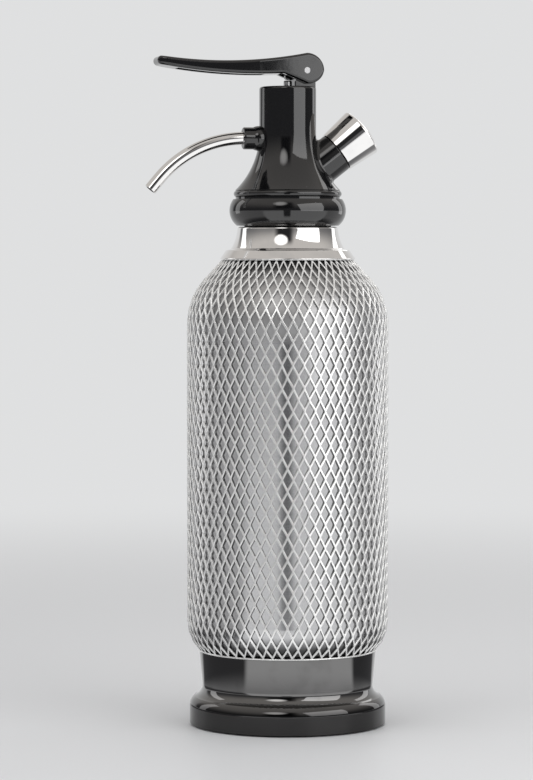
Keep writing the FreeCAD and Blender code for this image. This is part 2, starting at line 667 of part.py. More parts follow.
def valve_stem():
    """The push rod, domed at its top, with a spigot that holds the washer and the plunger."""
    rod_up = rod(STEM_R, WASHER_TOP_Z, STEM_TOP_Z)
    top_edges = [edge for edge in rod_up.Edges if edge.BoundBox.ZMin > STEM_TOP_Z - 0.01]
    rod_up = rod_up.makeFillet(STEM_DOME, top_edges)
    return single(rod_up.fuse(rod(STEM_SPIGOT_R, PLUNGER_Z, WASHER_TOP_Z)))


def valve_washer():
    return tube(WASHER_R, STEM_SPIGOT_R, WASHER_TOP_Z - WASHER_T, WASHER_TOP_Z)


def valve_plunger():
    return tube(CAGE_BORE_R - PASS, STEM_SPIGOT_R, PLUNGER_Z, PLUNGER_Z + PLUNGER_T)


# ---- spout ---------------------------------------------------------------------------------------
def spout_path():
    """Level out of the column, one long bend down, and a short straight tip."""
    bend_start = at(-FERRULE_END + SPOUT_HIDDEN, SPOUT_Z)
    centre = at(bend_start.x, SPOUT_Z - SPOUT_BEND_R)
    turn_rad = math.radians(SPOUT_BEND_DEG)
    bend_end = at(centre.x - SPOUT_BEND_R * math.sin(turn_rad), centre.z + SPOUT_BEND_R * math.cos(turn_rad))
    tip = at(bend_end.x - SPOUT_TIP_RUN * math.cos(turn_rad), bend_end.z - SPOUT_TIP_RUN * math.sin(turn_rad))
    return Part.Wire([
        line(at(-COLUMN_R + SPOUT_INSIDE, SPOUT_Z), bend_start),
        arc(centre, SPOUT_BEND_R, 90, 90 + SPOUT_BEND_DEG),
        line(bend_end, tip),
    ])


def spout_tube():
    path = spout_path()
    start = path.Vertexes[0].Point
    solids = []
    for radius in (SPOUT_R, SPOUT_R - SPOUT_WALL):
        section = Part.Wire([Part.Circle(start, OUT, radius).toShape()])
        solids.append(path.makePipeShell([section], True, True))
    return single(solids[0].cut(solids[1]))


def spout_ferrule():
    sleeve = spout_rod(FERRULE_R, COLUMN_R / 2, FERRULE_END)
    outer_edges = [edge for edge in sleeve.Edges if edge.BoundBox.XMax < -FERRULE_END + 0.01]
    sleeve = sleeve.makeFillet(FERRULE_ROUND, outer_edges)
    sleeve = sleeve.fuse(Part.makeSphere(FERRULE_BALL_R, at(-COLUMN_R - FERRULE_BALL_OUT, SPOUT_Z)))
    sleeve = sleeve.cut(spout_rod(SPOUT_R + RUN, 0, FERRULE_END + 1))
    return single(sleeve.cut(head_outside()))


def spout_seal():
    ring = spout_rod(SPOUT_SEAL_R, COLUMN_R - SPOUT_SEAL_T + RUN, COLUMN_R - RUN)
    ring = ring.cut(spout_rod(SPOUT_R + RUN, 0, FERRULE_END))
    return single(ring.common(rod(COLUMN_R - RUN, CHAMBER_Z, COLUMN_TOP_Z)))


# ---- charging nozzle and cap ---------------------------------------------------------------------
def nozzle_body():
    """Shank in the boss, threaded end outside it, with a socket for the charger's neck."""
    shank_low = BOSS_END - SHANK_IN
    body = rod(SHANK_R, shank_low + SLEEVE_L, BOSS_END)
    body = body.fuse(rod(SPIGOT_R, shank_low, BOSS_END))
    body = body.fuse(rod(NOZZLE_R, BOSS_END, NOZZLE_END))
    body = body.cut(ring_grooves(NOZZLE_R, NOZZLE_THREAD_DEPTH, NOZZLE_THREAD_PITCH,
                                 BOSS_END + NOZZLE_THREAD_PITCH, NOZZLE_END))
    body = body.cut(rod(SOCKET_R, NOZZLE_END - SOCKET_DEPTH, NOZZLE_END + 1))
    return along_nozzle(single(body.cut(rod(GAS_BORE_R, shank_low - 1, NOZZLE_END))))


def nozzle_seal():
    low = NOZZLE_END - SOCKET_DEPTH
    return along_nozzle(tube(SOCKET_R - RUN, GAS_BORE_R, low, low + NOZZLE_SEAL_T))


def piercing_pin():
    """A hollow needle in the gas bore; its cut end opens the charger."""
    low = BOSS_END - SHANK_IN + SLEEVE_L
    tip = NOZZLE_END - SOCKET_DEPTH + PIN_OUT
    pin = rod(PIN_R, low, tip).cut(rod(PIN_R / 2, low - 1, tip + 1))
    slant = Part.makeBox(4 * PIN_R, 4 * PIN_R, 4 * PIN_R)
    slant.translate(FreeCAD.Vector(-2 * PIN_R, -2 * PIN_R, 0))
    slant.rotate(ORIGIN, ACROSS, PIN_SLANT_DEG)
    slant.translate(at(0, tip - PIN_R))
    return along_nozzle(single(pin.cut(slant)))


def check_sleeve():
    """A rubber sleeve on the nozzle's spigot: gas lifts it on the way in and can't come back."""
    low = BOSS_END - SHANK_IN
    return along_nozzle(tube(SLEEVE_R, SPIGOT_R, low, low + SLEEVE_L - RUN))


def cap_outline(inset):
    """The cap's flared outside moved inward by inset, as a solid with a domed end."""
    flare = (CAP_TOP_R - CAP_LOW_R) / CAP_L
    shoulder = CAP_END - CAP_ROUND
    low = at(CAP_LOW_R - inset, CAP_LOW)
    high = at(CAP_TOP_R - inset - flare * CAP_ROUND, shoulder)
    crown_in = at(CAP_TOP_R - CAP_ROUND - inset, CAP_END - inset * 0.6)
    round_mid = at(high.x - (high.x - crown_in.x) * 0.3, high.z + (crown_in.z - high.z) * 0.7)
    pole_z = CAP_END + CAP_DOME - inset
    rise = pole_z - crown_in.z
    dome_r = (crown_in.x ** 2 + rise ** 2) / (2 * rise)
    lean = math.degrees(math.acos(crown_in.x / dome_r))
    return turn([
        line(at(0, CAP_LOW), low),
        line(low, high),
        Part.Arc(high, round_mid, crown_in).toShape(),
        arc(at(0, pole_z - dome_r), dome_r, lean, 90),
        line(at(0, pole_z), at(0, CAP_LOW)),
    ])


def cap_shell():
    shell = cap_outline(0).cut(cap_outline(CAP_SKIN))
    return along_nozzle(single(shell))


def cap_core():
    """The cap's threaded lining, which drives over the nozzle."""
    core = cap_outline(CAP_SKIN)
    core = core.cut(rod(NOZZLE_R + PASS, CAP_LOW - 1, CAP_END - CAP_END_T))
    return along_nozzle(single(core))


def cap_gasket():
    low = NOZZLE_END + SEAT
    return along_nozzle(rod(CAP_GASKET_R, low, low + CAP_GASKET_T))


# ---- lever ---------------------------------------------------------------------------------------
def lever_pin():
    return pivot_rod(LEVER_PIN_R, LEVER_W - 1)


def lever_side():
    """The lever seen from the side: a hub round the pivot and an arm with a dished top."""
    tip_low = at(-LEVER_REACH, COLUMN_TOP_Z + LEVER_TIP_LOW)
    tip_high = at(-LEVER_REACH, tip_low.z + LEVER_TIP_T)
    tip_mid = at(-LEVER_REACH - LEVER_TIP_T * 0.4, (tip_low.z + tip_high.z) / 2)
    mid_low = at(LEVER_MID_X, COLUMN_TOP_Z + LEVER_MID_LOW)
    mid_high = at(LEVER_MID_X, mid_low.z + LEVER_MID_T)
    near_low = at(LEVER_NEAR_X, COLUMN_TOP_Z + LEVER_NEAR_LOW)
    pivot = at(PIVOT_X, PIVOT_Z)
    back = at(PIVOT_X + HUB_R, PIVOT_Z)
    cheek = at(PIVOT_X, PIVOT_Z - CHEEK_R)
    diagonal = math.sqrt(0.5)
    cheek_mid = at(PIVOT_X + HUB_R * diagonal, PIVOT_Z - CHEEK_R * diagonal)
    return Part.Wire([
        Part.Arc(tip_low, tip_mid, tip_high).toShape(),
        Part.Arc(tip_high, mid_high, at(PIVOT_X, PIVOT_Z + HUB_R)).toShape(),
        arc(pivot, HUB_R, 90, 0),
        Part.Arc(back, cheek_mid, cheek).toShape(),
        line(cheek, near_low),
        Part.Arc(near_low, mid_low, tip_low).toShape(),
    ])


def lever_plan():
    """The lever seen from above: straight at the hub, narrowing to a rounded tip."""
    back = PIVOT_X + HUB_R + 1
    neck = LEVER_SHOULDER_X
    tip = -LEVER_REACH - LEVER_TIP_T
    shoulder = tip + LEVER_TIP_W * 0.42

    def spot(x, y):
        return FreeCAD.Vector(x, y, 0)
    half, tip_half = LEVER_W / 2, LEVER_TIP_W / 2
    outline = Part.Wire([
        line(spot(back, -half), spot(neck, -half)),
        line(spot(neck, -half), spot(shoulder, -tip_half)),
        Part.Arc(spot(shoulder, -tip_half), spot(tip, 0), spot(shoulder, tip_half)).toShape(),
        line(spot(shoulder, tip_half), spot(neck, half)),
        line(spot(neck, half), spot(back, half)),
        line(spot(back, half), spot(back, -half)),
    ])
    column = Part.Face(outline).extrude(FreeCAD.Vector(0, 0, 4 * PIVOT_RISE))
    column.translate(at(0, COLUMN_TOP_Z - PIVOT_RISE))
    return column


def lever_pocket():
    """The hollow under the arm, which leaves an even skin above and at the sides."""
    length = LEVER_REACH - LEVER_TIP_W / 2 + LEVER_NECK_X
    width = LEVER_TIP_W - 2 * LEVER_SKIN - 2 * LEVER_EDGE
    room = Part.makeBox(length, width, 4 * PIVOT_RISE)
    room.translate(FreeCAD.Vector(LEVER_NECK_X - length, -width / 2, COLUMN_TOP_Z - PIVOT_RISE))
    low_skin = Part.Face(lever_side()).extrude(FreeCAD.Vector(0, 2 * LEVER_W, 0))
    low_skin.translate(FreeCAD.Vector(0, -LEVER_W, -LEVER_SKIN))
    return low_skin.common(room)


def lever():
    side = Part.Face(lever_side()).extrude(FreeCAD.Vector(0, 2 * LEVER_W, 0))
    side.translate(FreeCAD.Vector(0, -LEVER_W, 0))
    body = single(side.common(lever_plan()))
    body = body.makeFillet(LEVER_EDGE, body.Edges)
    body = body.cut(lever_pocket())
    slot_low_z = PIVOT_Z - 2 * CHEEK_R
    slot = Part.makeBox(4 * HUB_R, 2 * SLOT_HALF, PIVOT_Z + SLOT_R - slot_low_z)
    slot.translate(FreeCAD.Vector(-NOSE_HALF - NOSE_ROOM, -SLOT_HALF, slot_low_z))
    body = body.cut(slot)
    nose_z = STEM_TOP_Z + NOSE_PLAY + NOSE_HALF
    nose = Part.makeBox(2 * NOSE_HALF, 2 * NOSE_HALF, PIVOT_Z + SLOT_R + 1 - nose_z)
    nose.translate(FreeCAD.Vector(-NOSE_HALF, -NOSE_HALF, nose_z))
    toe = Part.makeCylinder(NOSE_HALF, 2 * NOSE_HALF, FreeCAD.Vector(0, -NOSE_HALF, nose_z), ACROSS)
    body = body.fuse(nose).fuse(toe)
    return single(body.cut(pivot_rod(LEVER_PIN_R + RUN, 2 * LEVER_W)))


# ---- write ---------------------------------------------------------------------------------------
PIECES = {
    "bottle_shell": bottle_shell,
    "wire_mesh": wire_mesh,
    "mesh_top_rim": mesh_top_rim,
    "mesh_bottom_rim": mesh_bottom_rim,
    "neck_collar": neck_collar,
    "neck_ring": neck_ring,
    "base_cup": base_cup,
    "base_cushion": base_cushion,
    "base_plate": base_plate,
    "foot_pad": foot_pad,
    "riser_tube": riser_tube,
    "riser_flange": riser_flange,
    "head_gasket": head_gasket,
    "riser_tip": riser_tip,
    "head_shell": head_shell,
    "bell_thread": bell_thread,
    "valve_cage": valve_cage,
    "valve_seat": valve_seat,
    "valve_spring": valve_spring,
    "stem_guide": stem_guide,
    "stem_seal": stem_seal,
    "spout_ferrule": spout_ferrule,
    "spout_tube": spout_tube,
    "spout_seal": spout_seal,
    "nozzle_body": nozzle_body,
    "nozzle_seal": nozzle_seal,
    "piercing_pin": piercing_pin,
    "check_sleeve": check_sleeve,
    "lever_pin": lever_pin,
    "lever": lever,
    "valve_stem": valve_stem,
    "valve_washer": valve_washer,
    "valve_plunger": valve_plunger,
    "cap_gasket": cap_gasket,
    "cap_shell": cap_shell,
    "cap_core": cap_core,
}


def write(name, shape):
    shape.exportStep(f"parts/{name}.step")
    box = shape.BoundBox
    print(f"{name:16s} solids {len(shape.Solids)} valid {shape.isValid()} volume {shape.Volume:10.1f}"
          f"  z {box.ZMin:7.2f} to {box.ZMax:7.2f}")


def main():
    os.makedirs("parts", exist_ok=True)
    for name, make in PIECES.items():
        write(name, make())
    for number, place in enumerate(screw_places(), start=1):
        write(f"base_screw_{number}", base_screw(place))


main()
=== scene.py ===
# %% [markdown]
# # Dressing a soda siphon
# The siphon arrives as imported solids, in metres, with one empty for each body that moves. This
# lesson gives every solid its finish, weaves the real open mesh in place of its plain sleeve, and
# sets the siphon in a small daylight studio. We load the solids first, because every size and place
# below is read from them.

# %% Load the solids
import json
import math
import random

import bpy
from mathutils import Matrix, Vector


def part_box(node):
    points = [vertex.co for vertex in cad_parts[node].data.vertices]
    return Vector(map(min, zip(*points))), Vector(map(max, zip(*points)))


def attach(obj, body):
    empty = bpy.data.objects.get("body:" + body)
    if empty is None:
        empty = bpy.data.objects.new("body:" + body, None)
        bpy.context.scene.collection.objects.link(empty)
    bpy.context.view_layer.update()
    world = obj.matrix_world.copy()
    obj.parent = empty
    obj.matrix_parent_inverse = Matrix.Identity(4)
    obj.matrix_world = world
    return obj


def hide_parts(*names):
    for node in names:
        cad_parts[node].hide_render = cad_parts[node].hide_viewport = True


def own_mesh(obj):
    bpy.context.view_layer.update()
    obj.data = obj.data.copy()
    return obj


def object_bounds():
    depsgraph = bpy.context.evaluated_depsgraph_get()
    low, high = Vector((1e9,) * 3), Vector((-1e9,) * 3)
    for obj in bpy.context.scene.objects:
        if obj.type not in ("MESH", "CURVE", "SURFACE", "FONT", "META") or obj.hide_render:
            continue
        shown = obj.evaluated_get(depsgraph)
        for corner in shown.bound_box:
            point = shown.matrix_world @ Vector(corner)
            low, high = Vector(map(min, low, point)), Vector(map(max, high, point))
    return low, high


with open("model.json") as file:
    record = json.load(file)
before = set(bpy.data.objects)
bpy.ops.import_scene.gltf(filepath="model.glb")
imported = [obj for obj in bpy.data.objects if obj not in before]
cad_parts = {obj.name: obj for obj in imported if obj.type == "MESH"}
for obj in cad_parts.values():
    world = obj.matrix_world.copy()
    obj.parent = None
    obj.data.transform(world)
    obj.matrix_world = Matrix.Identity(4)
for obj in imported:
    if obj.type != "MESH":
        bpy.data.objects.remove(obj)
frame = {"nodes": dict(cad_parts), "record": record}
solid_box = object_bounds()
MM = 0.001
SLEEVE_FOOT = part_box("wire_mesh")[0].z
SLEEVE_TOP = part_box("wire_mesh")[1].z
print("height in mm:", round((solid_box[1][2] - solid_box[0][2]) / MM, 1))

# %% [markdown]
# ## Shader maths that reads like maths
# A procedural finish is mostly small sums: a noise, scaled, added to a roughness. Wiring Math nodes
# by hand hides the sum. A thin wrapper round a socket lets Python's own operators add those nodes,
# so that `0.1 + 0.05 * grain` is both the formula and the node tree. Everything that isn't
# arithmetic goes through one method that takes a node's type, its settings and its sockets.


# %% A socket that does sums, and a graph that adds nodes
class Wire:
    """One output socket. Arithmetic on it adds Math nodes to its graph."""

    def __init__(self, graph, socket):
        self.graph = graph
        self.socket = socket

    def math(self, operation, first, second):
        return self.graph.add("ShaderNodeMath", {"operation": operation}, {0: first, 1: second})

    def __add__(self, other):
        return self.math("ADD", self, other)

    __radd__ = __add__

    def __sub__(self, other):
        return self.math("SUBTRACT", self, other)

    def __rsub__(self, other):
        return self.math("SUBTRACT", other, self)

    def __mul__(self, other):
        return self.math("MULTIPLY", self, other)

    __rmul__ = __mul__

    def __truediv__(self, other):
        return self.math("DIVIDE", self, other)

    def __rtruediv__(self, other):
        return self.math("DIVIDE", other, self)

    def __pow__(self, other):
        return self.math("POWER", self, other)

    def __rpow__(self, other):
        return self.math("POWER", other, self)


class Graph:
    """A node tree, emptied and then written one call at a time."""

    def __init__(self, tree):
        self.tree = tree
        tree.nodes.clear()

    def add(self, kind, settings=None, sockets=None, output=0):
        """Add a node: its settings first, then its socket values or links."""
        node = self.tree.nodes.new(kind)
        for name, value in (settings or {}).items():
            setattr(node, name, value)
        for key, value in (sockets or {}).items():
            if isinstance(value, Wire):
                self.tree.links.new(value.socket, node.inputs[key])
            else:
                node.inputs[key].default_value = value
        return Wire(self, node.outputs[output]) if node.outputs else None

    def outputs(self, kind, sockets=None):
        """Add a node that is wanted for several outputs, and give them all by name."""
        node = self.add(kind, {}, sockets).socket.node
        return {socket.name: Wire(self, socket) for socket in node.outputs}

    def split(self, vector):
        """The three numbers of a vector."""
        parts = self.outputs("ShaderNodeSeparateXYZ", {0: vector})
        return parts["X"], parts["Y"], parts["Z"]


print("sums so far:", "add, subtract, multiply, divide, power")

# %% [markdown]
# ## Helpers that several finishes share
# Noise is the clay of procedural finishes. Here it is measured in millimetres: `grain(2)` has
# features about 2 mm wide, which is easier to judge against a real object than a bare scale.
# Turned and spun metal carries fine rings, so one helper bends space until a plain noise
# becomes rings round the siphon's upright axis.


# %% Places, noises and steps
def place(graph):
    """Where a point lies on the solid, in metres, wherever its body has moved."""
    return graph.add("ShaderNodeTexCoord", {}, {}, "Object")


def place_height(graph):
    """How high a point lies on the solid, in metres."""
    return graph.split(place(graph))[2]


def grain(graph, size_mm, detail=2.0):
    """Noise from 0 to 1 with features about size_mm wide."""
    sockets = {"Vector": place(graph), "Scale": 1 / (size_mm * MM), "Detail": detail}
    return graph.add("ShaderNodeTexNoise", {}, sockets)


def step(graph, value, low, high):
    """0 below low, 1 above high, and a soft rise between them."""
    sockets = {"Value": value, "From Min": low, "From Max": high}
    return graph.add("ShaderNodeMapRange", {"interpolation_type": "SMOOTHSTEP"}, sockets)


RING_REACH = 0.6  # a ring reads the noise on a circle of this radius, so it changes slowly


def rings(graph, pitch_mm):
    """Noise drawn out into fine rings round the upright axis."""
    x, y, z = graph.split(place(graph))
    radius = (x * x + y * y) ** 0.5
    run = (z + radius) / (pitch_mm * MM)
    bent = {0: x / radius * RING_REACH, 1: y / radius * RING_REACH, 2: run}
    vector = graph.add("ShaderNodeCombineXYZ", {}, bent)
    return graph.add("ShaderNodeTexNoise", {}, {"Vector": vector, "Scale": 1.0, "Detail": 2.0})


def blend(graph, mask, below, above):
    """A colour that goes from below to above with a mask."""
    return graph.add("ShaderNodeMix", {"data_type": "RGBA"}, {0: mask, 6: below, 7: above}, 2)


def bump(graph, height, depth_mm):
    """A normal from a height of 0 to 1 that stands for depth_mm."""
    sockets = {"Strength": 1.0, "Distance": depth_mm * MM, "Height": height}
    return graph.add("ShaderNodeBump", {}, sockets)


def finish(name, make):
    """A material whose surface is written by make(graph), which returns the shader's sockets."""
    material = bpy.data.materials.new(name)
    material.use_nodes = True
    graph = Graph(material.node_tree)
    surface = graph.add("ShaderNodeBsdfPrincipled", {}, make(graph))
    graph.add("ShaderNodeOutputMaterial", {}, {"Surface": surface})
    print(name, "nodes:", len(material.node_tree.nodes))
    return material


# %% [markdown]
# ## Spun aluminium for the bottle
# Under the mesh sits a bottle of satin polished aluminium. It was turned on a lathe, so its
# polish runs in rings and its reflections smear up and down a little. Rings in the roughness and a
# very shallow bump give that without a single modelled scratch.
#
# Two masks by height do the rest. Near both ends of the mesh the metal is painted dark, as painted
# shade, and made rougher. And the shoulder is pressed over a tool and only brushed, so it
# blurs what it mirrors: the softbox lies over it as a soft sheen and not as a white window.


# %% Finish of the bottle
UPPER_SHADE_FROM = (SLEEVE_TOP - 9 * MM, SLEEVE_TOP - 2 * MM)  # painted shade from here on up
LOWER_SHADE_TO = (SLEEVE_FOOT + 3 * MM, SLEEVE_FOOT + 10 * MM)  # and painted shade from here on down
SHOULDER_FROM = (SLEEVE_TOP - 41 * MM, SLEEVE_TOP - 31 * MM)  # only brushed above this


def bottle_aluminium(graph):
    lathe = rings(graph, 0.5)
    haze = grain(graph, 14)
    polish = blend(graph, haze, (0.46, 0.46, 0.465, 1), (0.52, 0.52, 0.525, 1))
    height = place_height(graph)
    painted_shade_at_ends = step(graph, height, *UPPER_SHADE_FROM) + 1 - step(graph, height, *LOWER_SHADE_TO)
    brushed = step(graph, height, *SHOULDER_FROM)
    return {
        # painted shade: the metal near both ends of the mesh is darker
        "Base Color": blend(graph, painted_shade_at_ends, polish, (0.10, 0.10, 0.10, 1)),
        "Metallic": 1.0,
        "Roughness": 0.14 + 0.08 * lathe + 0.06 * haze + 0.15 * painted_shade_at_ends + 0.22 * brushed,
        "Normal": bump(graph, lathe, 0.004),
    }


# %% [markdown]
# ## Bright steel for the mesh and its rims
# The mesh is slit and stretched sheet, so its strands are bright, a little rounded and not quite
# even. A fine grain breaks the highlight on each strand, and a broad one dulls some of them. The
# plating is milky, so Metallic stays at about two thirds: the rest of the light is scattered, which
# keeps the strands bright where they have nothing bright to mirror.


# %% Finish of the mesh
def mesh_steel(graph):
    fine = grain(graph, 0.35)
    broad = grain(graph, 9)
    tone = blend(graph, broad, (0.86, 0.86, 0.85, 1), (0.95, 0.95, 0.94, 1))
    return {
        "Base Color": tone,
        "Metallic": 0.54 + 0.2 * broad,
        "Roughness": 0.16 + 0.10 * fine + 0.06 * broad,
        "Normal": bump(graph, fine, 0.02),
    }


# %% [markdown]
# ## Chrome
# Plated brass is a mirror. What tells it from a perfect mirror is a faint haze where hands have
# been and the odd hairline from wiping, so only the roughness varies, and only slightly.


# %% Finish of the collar, spout and cap
def chrome(graph):
    touch = step(graph, grain(graph, 11, 3), 0.48, 0.72)
    return {
        "Base Color": blend(graph, touch, (0.84, 0.83, 0.82, 1), (0.78, 0.775, 0.77, 1)),
        "Metallic": 1.0,
        "Roughness": 0.03 + 0.05 * touch,
        "Normal": bump(graph, grain(graph, 7), 0.006),
    }


# %% [markdown]
# ## Black chrome for the base
# The base cup mirrors the floor far more strongly than black plastic could, which gives a plating
# of black chrome away: a metal with a dark tint. It is a mirror first and black second. The flared
# foot is tinted blacker than the wall as painted shade, so that it mirrors the ceiling only dimly.


# %% Finish of the base cup
FOOT_SHADE_TO_WALL = (9 * MM, 16 * MM)  # between these heights the foot's painted shade gives way to the wall


def black_chrome(graph):
    touch = step(graph, grain(graph, 13, 3), 0.48, 0.75)
    plated = blend(graph, touch, (0.18, 0.178, 0.177, 1), (0.15, 0.148, 0.147, 1))
    above_foot_shade = step(graph, place_height(graph), *FOOT_SHADE_TO_WALL)
    return {
        # painted shade: the foot's tint is darker than the wall's
        "Base Color": blend(graph, above_foot_shade, (0.055, 0.054, 0.054, 1), plated),
        "Metallic": 1.0,
        "Roughness": 0.05 + 0.06 * touch,
        "Normal": bump(graph, grain(graph, 9), 0.006),
    }


# %% [markdown]
# ## Gloss black moulding
# Head and lever are moulded in a hard black plastic with a piano gloss. Real mouldings
# have a slight orange peel, which bends long reflections, and collect specks of dust. The peel is
# a bump a few thousandths of a millimetre deep; the dust is a sparse mask that lifts the colour
# and dulls the gloss.


# %% Finish of the head and lever
SPECK_GAP = 3.5 * MM  # from one speck of dust to the next
SPECK_R = (0.03, 0.06)  # a speck's soft edge, as shares of the gap


def gloss_black(graph):
    peel = grain(graph, 3.2, 1)
    touch = step(graph, grain(graph, 16, 3), 0.50, 0.75)
    specks = {"Vector": place(graph), "Scale": 1 / SPECK_GAP}
    from_speck = graph.add("ShaderNodeTexVoronoi", {}, specks)
    dust = (1 - step(graph, from_speck, *SPECK_R)) * step(graph, grain(graph, 20), 0.5, 0.7)
    return {
        "Base Color": blend(graph, dust, (0.004, 0.004, 0.0045, 1), (0.10, 0.10, 0.10, 1)),
        "Roughness": 0.055 + 0.06 * touch + 0.3 * dust,
        "Specular IOR Level": 0.85,
        "Normal": bump(graph, peel, 0.004),
    }


# %% [markdown]
# ## Matt mouldings
# The neck ring, the base plate, the strainer foot and the cap's lining come from spark eroded
# moulds, which leave an even fine grain. One small noise drives the colour, the roughness and the
# bump together, because on the real skin the same pits cause all three.


# %% Finish of the matt mouldings
def matte_black(graph):
    spark = grain(graph, 0.5, 3)
    return {
        "Base Color": blend(graph, spark, (0.018, 0.018, 0.019, 1), (0.032, 0.032, 0.033, 1)),
        "Roughness": 0.45 + 0.15 * spark,
        "Normal": bump(graph, spark, 0.03),
    }


# %% [markdown]
# ## Rubber under the foot
# The foot pad and the cushion inside the base are moulded rubber. Rubber scatters light so widely
# that it hardly shines, and it chalks in patches with age. A high roughness does the first and a
# broad grey mask the second.


# %% Finish of the foot pad and cushion
def rubber(graph):
    skin = grain(graph, 0.8, 3)
    chalk = step(graph, grain(graph, 12, 3), 0.45, 0.8)
    return {
        "Base Color": blend(graph, chalk, (0.020, 0.020, 0.020, 1), (0.045, 0.044, 0.043, 1)),
        "Roughness": 0.72 + 0.16 * skin,
        "Normal": bump(graph, skin, 0.05),
    }


# %% [markdown]
# ## Softer rubber for the gaskets
# Gaskets are of a softer, greyer rubber than the foot. They are cut from sheet, so their
# skin is finer. They only show when the head or the cap is off.


# %% Finish of the gaskets
def gasket_rubber(graph):
    skin = grain(graph, 0.5, 2)
    return {
        "Base Color": blend(graph, skin, (0.07, 0.07, 0.072, 1), (0.11, 0.11, 0.112, 1)),
        "Roughness": 0.6 + 0.15 * skin,
        "Normal": bump(graph, skin, 0.02),
    }


# %% [markdown]
# ## Milky plastic for the riser
# Unscrew the head and the riser comes out, a long tube of unpigmented plastic. Such plastic is
# milky and a little uneven, so a broad cloudy noise moves both its tone and its gloss.


# %% Finish of the riser
def riser_plastic(graph):
    cloud = grain(graph, 6, 3)
    return {
        "Base Color": blend(graph, cloud, (0.62, 0.64, 0.63, 1), (0.74, 0.75, 0.74, 1)),
        "Roughness": 0.28 + 0.12 * cloud,
        "Normal": bump(graph, grain(graph, 1.5), 0.01),
    }


# %% [markdown]
# ## Turned brass
# The valve's cage, seat and plunger and the charging nozzle are turned from bar. The tool leaves
# fine rings, and damp air leaves brown tarnish in soft patches. Rings drive the bump, and the
# tarnish darkens the colour and dulls the shine at the same spots.


# %% Finish of the turned brass
def brass(graph):
    lathe = rings(graph, 0.3)
    tarnish = step(graph, grain(graph, 5, 3), 0.5, 0.8)
    return {
        "Base Color": blend(graph, tarnish, (0.72, 0.54, 0.26, 1), (0.50, 0.36, 0.18, 1)),
        "Metallic": 1.0,
        "Roughness": 0.20 + 0.12 * lathe + 0.15 * tarnish,
        "Normal": bump(graph, lathe, 0.01),
    }


# %% [markdown]
# ## Plain steel
# Screws, pins and springs are bright steel with finer rings than the brass, and no tarnish. It is
# the same recipe with other numbers, which is the point of keeping `rings` a helper.


# %% Finish of screws, pins and springs
def screw_steel(graph):
    lathe = rings(graph, 0.2)
    return {
        "Base Color": blend(graph, grain(graph, 3), (0.50, 0.50, 0.51, 1), (0.62, 0.62, 0.62, 1)),
        "Metallic": 1.0,
        "Roughness": 0.22 + 0.16 * lathe,
        "Normal": bump(graph, lathe, 0.008),
    }


# %% [markdown]
# ## Hand each solid its finish
# The record says which finish each solid takes. One loop makes each material once and puts it on
# every solid that asks for it, so a new solid can't be forgotten.

# %% Assign the finishes
makers = {
    "bottle_aluminium": bottle_aluminium,
    "mesh_steel": mesh_steel,
    "chrome": chrome,
    "black_chrome": black_chrome,
    "gloss_black": gloss_black,
    "matte_black": matte_black,
    "ring_plastic": matte_black,
    "riser_plastic": riser_plastic,
    "rubber": rubber,
    "gasket_rubber": gasket_rubber,
    "brass": brass,
    "screw_steel": screw_steel,
}
finishes = {slot: finish(slot, make) for slot, make in makers.items()}
for part in frame["record"]["subparts"]:
    solid = frame["nodes"][part["node"]]
    solid.data.materials.clear()
    solid.data.materials.append(finishes[part["material_slot"]])

# %% [markdown]
# ## The sleeve's outline
# The mesh sleeve hugs the bottle: it curls in under the heel, runs straight up the side, and
# closes over the shoulder. To weave strands on it we need a point for any distance walked along
# that outline, and which way is outward there. Two arcs and two straight runs are enough, so they
# are written as a small walk instead of a list of points.

# %% Walk up the sleeve
bottle_low, bottle_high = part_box("bottle_shell")
sleeve_low, sleeve_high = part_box("wire_mesh")
BOTTLE_HEEL_R = 20.0 * MM
BOTTLE_SHOULDER_R = 30.7 * MM
BODY_H = 141.0 * MM  # the straight side
SLOPE = math.radians(43.0)  # how far the shoulder's upper end leans in
HALF_SHEET = 0.4 * MM
SIDE_R = sleeve_high.x - HALF_SHEET  # the middle of the sheet on the straight side
STAND_OFF = SIDE_R - bottle_high.x  # from the bottle's skin to the middle of the sheet
HEEL_R = BOTTLE_HEEL_R + STAND_OFF
SHOULDER_R = BOTTLE_SHOULDER_R + STAND_OFF
HEEL_Z = bottle_low.z + BOTTLE_HEEL_R
SHOULDER_Z = HEEL_Z + BODY_H
HEEL_TURN = math.asin((HEEL_Z - sleeve_low.z) / HEEL_R)

HEEL_RUN = HEEL_R * HEEL_TURN
SHOULDER_RUN = SHOULDER_R * SLOPE
SLOPE_Z = SHOULDER_Z + SHOULDER_R * math.sin(SLOPE)
SLOPE_RUN = (sleeve_high.z - SLOPE_Z) / math.cos(SLOPE)
SLEEVE_RUN = HEEL_RUN + BODY_H + SHOULDER_RUN + SLOPE_RUN


def sleeve_spot(run):
    """Radius and height at a distance along the outline, and the lean of its outward side."""
    if run < HEEL_RUN:
        lean = run / HEEL_R - HEEL_TURN
        centre = SIDE_R - HEEL_R
        return centre + HEEL_R * math.cos(lean), HEEL_Z + HEEL_R * math.sin(lean), lean
    run -= HEEL_RUN
    if run < BODY_H:
        return SIDE_R, HEEL_Z + run, 0.0
    run -= BODY_H
    centre = SIDE_R - SHOULDER_R
    lean = min(run / SHOULDER_R, SLOPE)
    rest = max(run - SHOULDER_RUN, 0.0)
    radius = centre + SHOULDER_R * math.cos(lean) - rest * math.sin(SLOPE)
    height = SHOULDER_Z + SHOULDER_R * math.sin(lean) + rest * math.cos(SLOPE)
    return radius, height, lean


top_r = sleeve_spot(SLEEVE_RUN)[0]
print("sheet stands off by", round(STAND_OFF / MM, 2), "mm")
print("outline in mm:", round(SLEEVE_RUN / MM, 1), "top radius:", round(top_r / MM, 2))

# %% [markdown]
# ## Rows of diamonds
# Stretched sheet keeps its strand length. Where the sleeve narrows, each diamond gets slimmer
# and so a little taller. Walking the outline row by row with that rule puts every crossing in
# place, and a last small stretch makes the top row land on the rim.

